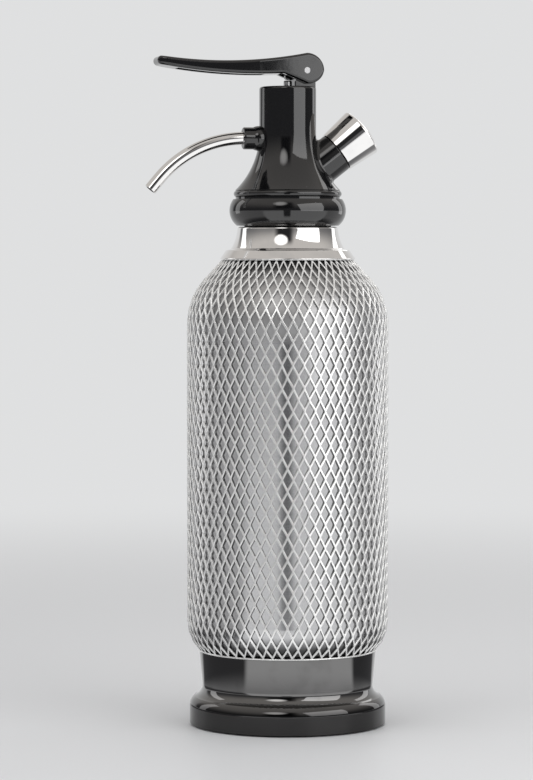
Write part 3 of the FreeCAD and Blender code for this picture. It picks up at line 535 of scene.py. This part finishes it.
# %% Find the height of each row of crossings
COLUMNS = 58  # diamonds round the sleeve
CELL_H = 10.5 * MM  # a diamond's height on the straight side, before the stretch
HALF_CELL_W = math.pi * SIDE_R / COLUMNS
STRAND = math.hypot(HALF_CELL_W, CELL_H / 2)  # from one crossing to the next

rows = [0.0]
while rows[-1] < SLEEVE_RUN - CELL_H / 4:
    radius = sleeve_spot(rows[-1])[0]
    rows.append(rows[-1] + math.sqrt(STRAND**2 - (math.pi * radius / COLUMNS) ** 2))
stretch = SLEEVE_RUN / rows[-1]
rows = [row * stretch for row in rows]
print("rows of crossings:", len(rows), "stretch:", round(stretch, 4))

# %% [markdown]
# ## Weave the mesh
# Each crossing is a small lozenge with a corner up, down, left and right; each strand is a bar
# from one lozenge to a lozenge in the next row. That gives straight strands and sharp diamonds,
# as in slit and stretched sheet, and a Bevel then rounds every edge of the metal. A Subdivision
# Surface would round the holes too, and Boolean cuts would leave a heavy, uneven mesh.
#
# Stretching also twists the strands: every crossing leans back at its top. So the strands that
# lean one way look up to the right and those that lean the other way look up to the left, which
# is why a lamp on one side picks out half of them. Seeded random numbers make them a bit uneven.

# %% Build the strands
STRAND_W = 0.74 * MM  # seen from the front
KNOT = 1.45  # how much longer a crossing is than two strands that merely cross
HALF_CROSSING = KNOT * STRAND_W * STRAND / HALF_CELL_W / 2  # half a crossing's height
HALF_CROSSING_W = STRAND_W * STRAND / CELL_H  # half its width
BAR_HALF_T = 0.32 * MM  # half a strand's thickness
TILT = 0.22 * MM  # the lower corner stands this much prouder, and the upper one this much less
LEAST_TILT = 0.8  # the flattest crossing has this share of the tilt
UNEVEN = 0.16 * MM  # how far a crossing strays from its place
UPPER, LEFT, LOWER, RIGHT = range(4)  # a crossing's corners, seen from outside the sleeve
INNER = 4  # the corners on the inside follow the four on the outside
CORNERS = 8
random.seed(7)


def sleeve_point(run, angle, out):
    """A point on the sleeve, moved outward by out."""
    inside = min(max(run, 0.0), SLEEVE_RUN)
    radius, height, lean = sleeve_spot(inside)
    radius += out * math.cos(lean) - (run - inside) * math.sin(lean)
    height += out * math.sin(lean) + (run - inside) * math.cos(lean)
    return radius * math.cos(angle), radius * math.sin(angle), height


def crossing(row, column):
    """The eight corners of a crossing: up, left, down, right on the outside, then on the inside."""
    radius = sleeve_spot(rows[row])[0]
    run = rows[row] + random.uniform(-UNEVEN, UNEVEN)
    angle = 2 * math.pi * (column + 0.5 * (row % 2)) / COLUMNS
    angle += random.uniform(-UNEVEN, UNEVEN) / radius
    side = HALF_CROSSING_W / radius
    tilt = TILT * random.uniform(LEAST_TILT, 1.0)
    corners = []
    for out in (BAR_HALF_T, -BAR_HALF_T):
        corners.append(sleeve_point(run + HALF_CROSSING, angle, out - tilt))
        corners.append(sleeve_point(run, angle - side, out))
        corners.append(sleeve_point(run - HALF_CROSSING, angle, out + tilt))
        corners.append(sleeve_point(run, angle + side, out))
    return corners


def edge_face(first, second):
    """The face through the sheet, under the edge from one outer corner to the next."""
    return (second, first, first + INNER, second + INNER)


def bar(low, high):
    """The four long faces of a strand; low and high are (left, right) pairs of outer corners."""
    (low_left, low_right), (high_left, high_right) = low, high
    return [
        (low_left, low_right, high_right, high_left),
        (high_left + INNER, high_right + INNER, low_right + INNER, low_left + INNER),
        edge_face(high_left, low_left),
        edge_face(low_right, high_right),
    ]


points = []
faces = []
for row in range(len(rows)):
    for column in range(COLUMNS):
        here = CORNERS * (row * COLUMNS + column)
        upper, left, lower, right = here + UPPER, here + LEFT, here + LOWER, here + RIGHT
        points.extend(crossing(row, column))
        faces.append((upper, left, lower, right))
        faces.append((right + INNER, lower + INNER, left + INNER, upper + INNER))
        if row == 0:
            faces.append(edge_face(left, lower))
            faces.append(edge_face(lower, right))
        if row == len(rows) - 1:
            faces.append(edge_face(upper, left))
            faces.append(edge_face(right, upper))
            continue
        next_right = (column + row % 2) % COLUMNS
        next_left = (column - 1 + row % 2) % COLUMNS
        to_right = CORNERS * ((row + 1) * COLUMNS + next_right)
        to_left = CORNERS * ((row + 1) * COLUMNS + next_left)
        faces.extend(bar((upper, right), (to_right + LEFT, to_right + LOWER)))
        faces.extend(bar((left, upper), (to_left + LOWER, to_left + RIGHT)))

strands = bpy.data.meshes.new("open_mesh")
strands.from_pydata(points, [], faces)
strands.validate()
strands.shade_smooth()
open_mesh = bpy.data.objects.new("open_mesh", strands)
bpy.context.scene.collection.objects.link(open_mesh)
soften = open_mesh.modifiers.new("soften", "BEVEL")
soften.width = 0.28 * MM
soften.segments = 3
soften.limit_method = "ANGLE"
soften.angle_limit = math.radians(40)
strands.materials.append(finishes["mesh_steel"])
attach(open_mesh, "bottle")
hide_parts("wire_mesh")
print("strands:", 2 * COLUMNS * (len(rows) - 1), "faces:", len(faces))

# %% [markdown]
# ## The valve spring, wound once more
# Pressing the lever pushes the valve down onto its coil spring. A imported solid keeps its shape, so
# that coil would stay tall while the valve sinks into it. Here the same coil is wound once more,
# as a round wire that climbs evenly, and put in place of the imported one, riding with the head.

# %% Wind the valve spring
WIRE_R = 0.35 * MM
TURNS = 5
STEPS_PER_TURN = 32
SIDES = 10  # corners round the wire
spring_low, spring_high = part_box("valve_spring")
COIL_R = spring_high.x - WIRE_R
COIL_LOW = spring_low.z + WIRE_R
COIL_H = spring_high.z - WIRE_R - COIL_LOW
PITCH = math.atan(COIL_H / (2 * math.pi * COIL_R * TURNS))


def wire_ring(share):
    """The corners round the wire, at a share of the way up the coil."""
    turn = 2 * math.pi * TURNS * share
    outward = Vector((math.cos(turn), math.sin(turn), 0))
    climb = math.sin(PITCH)
    upward = Vector((math.sin(turn) * climb, -math.cos(turn) * climb, math.cos(PITCH)))
    centre = outward * COIL_R + Vector((0, 0, COIL_LOW + COIL_H * share))
    turned = [2 * math.pi * side / SIDES for side in range(SIDES)]
    return [centre + WIRE_R * (outward * math.cos(a) + upward * math.sin(a)) for a in turned]


LAST_RING = TURNS * STEPS_PER_TURN
coil_points = [point for ring in range(LAST_RING + 1) for point in wire_ring(ring / LAST_RING)]
lower_end = range(SIDES)
upper_end = range(LAST_RING * SIDES, (LAST_RING + 1) * SIDES)[::-1]
coil_faces = [lower_end, upper_end]
for ring in range(LAST_RING):
    for side in range(SIDES):
        here = ring * SIDES + side
        beside = ring * SIDES + (side + 1) % SIDES
        coil_faces.append((here, here + SIDES, beside + SIDES, beside))
coil_mesh = bpy.data.meshes.new("coil_spring")
coil_mesh.from_pydata(coil_points, [], coil_faces)
coil_mesh.validate()
coil_mesh.shade_smooth()
coil_mesh.materials.append(finishes["screw_steel"])
coil_spring = bpy.data.objects.new("coil_spring", coil_mesh)
bpy.context.scene.collection.objects.link(coil_spring)
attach(coil_spring, "head")
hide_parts("valve_spring")

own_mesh(coil_spring)

# %% [markdown]
# ## The camera
# A long lens at a good distance keeps the siphon's sides parallel, as in catalogue pictures. The
# eye is level with the collar and a little to the spout's side, so the camera looks down slightly
# and the foot shows its top. It is aimed at the middle of the siphon.

# %% Place the camera
VIEW_AZ = math.radians(-12.0)  # turned towards the spout
EYE_Z = 0.229  # metres above the floor
EYE_DISTANCE = 1.5  # metres from the siphon's middle
FRAME_FILL = 0.86  # the siphon's share of the picture's height
SENSOR = 36.0  # millimetres

low, high = (Vector(corner) for corner in solid_box)
middle = (low + high) / 2
toward = Vector((math.sin(VIEW_AZ), -math.cos(VIEW_AZ), 0.0))
aside = Vector((math.cos(VIEW_AZ), math.sin(VIEW_AZ), 0.0))
eye = Vector((middle.x, middle.y, EYE_Z)) + toward * EYE_DISTANCE

camera_data = bpy.data.cameras.new("camera")
camera_data.sensor_fit = "VERTICAL"
camera_data.sensor_height = SENSOR
camera_data.lens = SENSOR * (eye - middle).length / ((high.z - low.z) / FRAME_FILL)
camera_data.clip_start = 0.05
camera = bpy.data.objects.new("camera", camera_data)
camera.location = eye
camera.rotation_euler = (middle - eye).to_track_quat("-Z", "Y").to_euler()
bpy.context.scene.collection.objects.link(camera)
bpy.context.scene.camera = camera
bpy.context.scene.view_settings.view_transform = "Standard"
print("lens:", round(camera_data.lens, 1), "mm")

# %% [markdown]
# ## What the metal mirrors
# Black gloss and chrome show nothing but what stands round them, so the room matters more than
# the lamps. A pale paper sweep hangs behind the siphon and runs on under it. The walls beside it
# are dim, which is what draws the siphon's edges, and brighten into a warm ceiling. A tall dark
# screen hangs in front and keeps the middle of the metal from looking flat. A soft round lamp in
# front of it puts the glint on the bell. Matt surfaces only get an even light: the Light Path node
# tells these kinds of ray apart.

# %% The room's light
PALE = (0.74, 0.745, 0.75, 1)
DIM = (0.12, 0.12, 0.125, 1)
DARK = (0.02, 0.02, 0.021, 1)
WARM = (0.58, 0.555, 0.53, 1)
EVEN = (0.50, 0.50, 0.51, 1)  # what matt surfaces get from every side
LAMP_LIGHT = (2.8, 2.75, 2.7, 1)
SWEEP_EDGE = (0.10, 0.16)  # where the sweep ends, from 0 straight behind to 1 straight in front
CEILING_RISE = (0.06, 0.66)  # the sine of the heights over which walls turn into ceiling
SCREEN_TURN = -8.0  # degrees, to the left of the camera
SCREEN_EDGE = (0.90, 0.985)  # the cosine of the angle from the screen's upright middle to its edge
SCREEN_FOOT = (0.10, 0.20)  # the sine of its lower end's height
SCREEN_HEAD = (0.60, 0.84)  # and of its upper end's
LAMP_AT = (-17.0, 38.0)  # degrees to the left of the camera, and lifted
LAMP_EDGE = (0.966, 1.0)  # the cosine of the angle from the lamp's middle to its edge


def toward_turned(turn_deg, lift_deg=0.0):
    """The direction from the siphon to the camera, turned to the right and lifted."""
    turn = math.radians(turn_deg)
    lift = math.radians(lift_deg)
    level = toward * math.cos(turn) + aside * math.sin(turn)
    return level * math.cos(lift) + Vector((0, 0, math.sin(lift)))


def along(graph, vector, direction):
    """How far a vector reaches in a direction."""
    sockets = {0: vector, 1: direction}
    return graph.add("ShaderNodeVectorMath", {"operation": "DOT_PRODUCT"}, sockets, "Value")


def room_seen(graph, heading):
    """What a mirror sees: the sweep behind, dim walls, a warm ceiling, the screen and the lamp."""
    up = graph.split(heading)[2]
    level = (1.0001 - up * up) ** 0.5  # how level the ray is; never quite 0, so it can divide
    ahead = along(graph, heading, toward) / level
    walls = blend(graph, step(graph, 0.5 + 0.5 * ahead, *SWEEP_EDGE), PALE, DIM)
    upper = blend(graph, step(graph, up, *CEILING_RISE), walls, WARM)
    screenward = along(graph, heading, toward_turned(SCREEN_TURN)) / level
    screen = step(graph, screenward, *SCREEN_EDGE) * step(graph, up, *SCREEN_FOOT)
    screen = screen * (1 - step(graph, up, *SCREEN_HEAD))
    lamp = step(graph, along(graph, heading, toward_turned(*LAMP_AT)), *LAMP_EDGE)
    return blend(graph, lamp, blend(graph, screen, upper, DARK), LAMP_LIGHT)


def ray_kinds(graph):
    """Two masks: rays that were mirrored, and rays that look straight or through something."""
    rays = graph.outputs("ShaderNodeLightPath")
    return rays["Is Glossy Ray"], rays["Is Camera Ray"] + rays["Is Transmission Ray"]


world = bpy.data.worlds.new("room")
bpy.context.scene.world = world
world.use_nodes = True
room = Graph(world.node_tree)
heading = room.add("ShaderNodeTexCoord", {}, {}, "Generated")
mirrored = room_seen(room, heading)
glossy, looking = ray_kinds(room)
shown = blend(room, looking, blend(room, glossy, EVEN, mirrored), PALE)
light = room.add("ShaderNodeBackground", {}, {"Color": shown, "Strength": 1.0})
room.add("ShaderNodeOutputWorld", {}, {"Surface": light})
print("nodes in the room:", len(world.node_tree.nodes))

# %% [markdown]
# ## The floor
# The siphon stands on the pale matt sweep, which must keep its shadow and yet fade into the
# backdrop without a horizon. Near the siphon the floor is an ordinary surface. Further out, a mask
# by distance swaps it for a flat glow of the backdrop's colour, but only for rays that are
# looking.
#
# Mirrors get a floor of their own, a painted reflection that glows: a white patch in front, brighter
# than the lit floor, dark patches on both sides, and a narrow dark strip towards the camera. The
# base cup mirrors little else.

# %% Lay the floor
FLOOR_R = 12.0  # metres, as the other distances here
FLOOR_SIDES = 60
FADE = (0.35, 1.3)  # where the floor turns into backdrop
GLOW_FROM = (0.09, 0.14)  # mirrors see the painted glow from here on
WHITE_GLOW_END = (2.7, 3.3)  # where the painted white patch ends
WHITE_GLOW_SKEW = 1.3  # it reaches this much further on the right
DARK_GLOW_END = (0.22, 0.45)  # where the painted dark patches end, and the strip begins
WHITE_GLOW_TURN = 17.0  # the painted white patch's middle, in degrees to the right of the camera
WHITE_GLOW_EDGE = (0.34, 0.46)  # the cosine of the angle from there to its sides
STRIP_TURN = -1.5  # the same for the dark strip
STRIP_EDGE = (0.990, 0.996)
# painted reflections: what mirrors see of the floor, glowing in place of its lit shading
PAINTED_WHITE_REFLECTION = (1.12, 1.125, 1.13, 1)
PAINTED_FAR_REFLECTION = (0.84, 0.83, 0.84, 1)
PAINTED_SIDE_REFLECTION = (0.66, 0.655, 0.66, 1)
PAINTED_DARK_REFLECTION = (0.11, 0.11, 0.115, 1)

floor_mesh = bpy.data.meshes.new("floor")
bearings = [2 * math.pi * side / FLOOR_SIDES for side in range(FLOOR_SIDES)]
rim = [(FLOOR_R * math.cos(a), FLOOR_R * math.sin(a), 0.0) for a in bearings]
floor_mesh.from_pydata(rim, [], [range(FLOOR_SIDES)])
floor = bpy.data.objects.new("floor", floor_mesh)
bpy.context.scene.collection.objects.link(floor)


def painted_floor_reflection(graph, here, reach):
    """The painted reflection a mirror sees in place of the floor at a place, which lies at a reach
    from the siphon.
    """
    ahead = along(graph, here, toward) / reach
    end = reach - WHITE_GLOW_SKEW * along(graph, here, aside) / reach
    front = blend(graph, step(graph, end, *WHITE_GLOW_END), PAINTED_WHITE_REFLECTION, PAINTED_FAR_REFLECTION)
    beyond = step(graph, reach, *DARK_GLOW_END)
    stripward = along(graph, here, toward_turned(STRIP_TURN)) / reach
    strip = step(graph, stripward, *STRIP_EDGE) * beyond
    front = blend(graph, strip, front, PAINTED_DARK_REFLECTION)
    white_glow_ward = along(graph, here, toward_turned(WHITE_GLOW_TURN)) / reach
    sides = blend(graph, beyond, PAINTED_DARK_REFLECTION, PAINTED_SIDE_REFLECTION)
    forward = blend(graph, step(graph, white_glow_ward, *WHITE_GLOW_EDGE), sides, front)
    return blend(graph, step(graph, 0.5 + 0.5 * ahead, *SWEEP_EDGE), PALE, forward)


floor_material = bpy.data.materials.new("pale_floor")
floor_material.use_nodes = True
ground = Graph(floor_material.node_tree)
here = place(ground)
x, y = ground.split(here)[:2]
reach = (x * x + y * y) ** 0.5
glossy, looking = ray_kinds(ground)
paint = blend(ground, grain(ground, 1.5), (0.70, 0.705, 0.71, 1), (0.73, 0.735, 0.74, 1))
matt = ground.add("ShaderNodeBsdfPrincipled", {}, {"Base Color": paint, "Roughness": 0.5})
# painted reflection: mirrors see this glow in place of the lit floor
glow_colour = blend(ground, glossy, PALE, painted_floor_reflection(ground, here, reach))
glow = ground.add("ShaderNodeEmission", {}, {"Color": glow_colour, "Strength": 1.0})
away = step(ground, reach, *FADE) * looking + step(ground, reach, *GLOW_FROM) * glossy
mixed = ground.add("ShaderNodeMixShader", {}, {0: away, 1: matt, 2: glow})
ground.add("ShaderNodeOutputMaterial", {}, {"Surface": mixed})
floor_mesh.materials.append(floor_material)
print("floor fades from", FADE[0], "to", FADE[1], "m")

# %% [markdown]
# ## Softboxes
# A broad softbox to the right of the camera draws the clean grey bar down the black column and the
# white window on the chrome. Three more behind the siphon light its back and its edges. The large
# ones overhead and on the left only fill: mirrors don't show them, so the left of the column stays
# black. Each is set by how bright it looks, not by its watts, because a mirror shows just that.
# Distances, heights and sizes are in metres.


# %% Hang the softboxes
def softbox(name, turn_deg, distance, height, size, brightness, mirrored=True):
    """An area lamp aimed at the siphon; turn_deg is measured from the camera, to the right."""
    wide, tall = size
    turn = math.radians(turn_deg)
    lamp = bpy.data.lights.new(name, "AREA")
    lamp.shape = "RECTANGLE"
    lamp.size = wide
    lamp.size_y = tall
    lamp.energy = brightness * math.pi * wide * tall
    holder = bpy.data.objects.new(name, lamp)
    holder.location = middle + (toward * math.cos(turn) + aside * math.sin(turn)) * distance
    holder.location.z = height
    holder.rotation_euler = (middle - holder.location).to_track_quat("-Z", "Y").to_euler()
    holder.visible_camera = False
    holder.visible_glossy = mirrored
    bpy.context.scene.collection.objects.link(holder)
    print(name, round(lamp.energy, 2), "W")


softbox("key_right", 50.0, 1.05, 0.54, (1.05, 0.80), 1.8)
softbox("edge_right", 128.0, 1.3, 0.50, (0.35, 1.0), 1.3)
softbox("edge_left", -118.0, 1.3, 0.50, (0.35, 1.0), 1.1)
softbox("back_right", 165.0, 1.4, 0.9, (0.5, 0.5), 1.2)
softbox("fill_left", -55.0, 1.2, 0.7, (1.2, 1.0), 1.2, mirrored=False)
softbox("above", 0.0, 0.25, 1.30, (1.0, 1.0), 1.1, mirrored=False)
